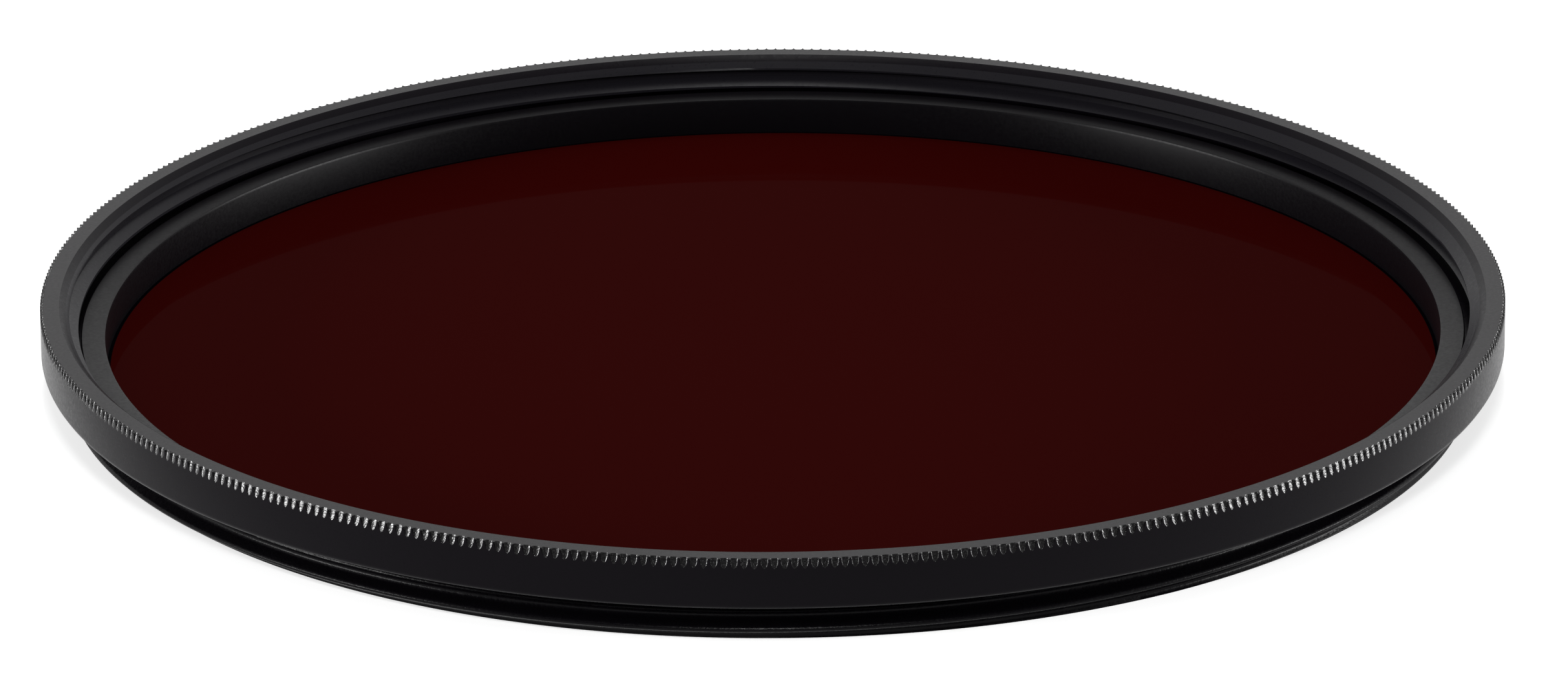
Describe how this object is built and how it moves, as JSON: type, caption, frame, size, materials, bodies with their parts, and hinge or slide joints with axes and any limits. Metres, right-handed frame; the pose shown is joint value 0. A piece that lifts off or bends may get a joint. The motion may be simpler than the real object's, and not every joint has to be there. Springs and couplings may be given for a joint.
{
  "type": "infrared lens filter",
  "caption": "Round screw-in infrared filter for a camera lens: black knurled frame with threads front and rear, and a dark red glass held by a flush inner ring.",
  "frame": {"origin": "centre of the rear end face of the mounting thread, on the optical axis", "axes": "+Z along the optical axis, out of the front face and away from the camera; X and Y are alike, because the part is round"},
  "size_m": [0.0508, 0.0508, 0.0033],
  "materials": {
    "black_anodised": "satin black anodised",
    "black_ring": "satin black anodised",
    "infrared_glass": "polished, nearly opaque dark red"
  },
  "bodies": {
    "root": {"filter_frame": "black_anodised", "retaining_ring": "black_ring", "filter_glass": "infrared_glass"}
  },
  "joints": []
}
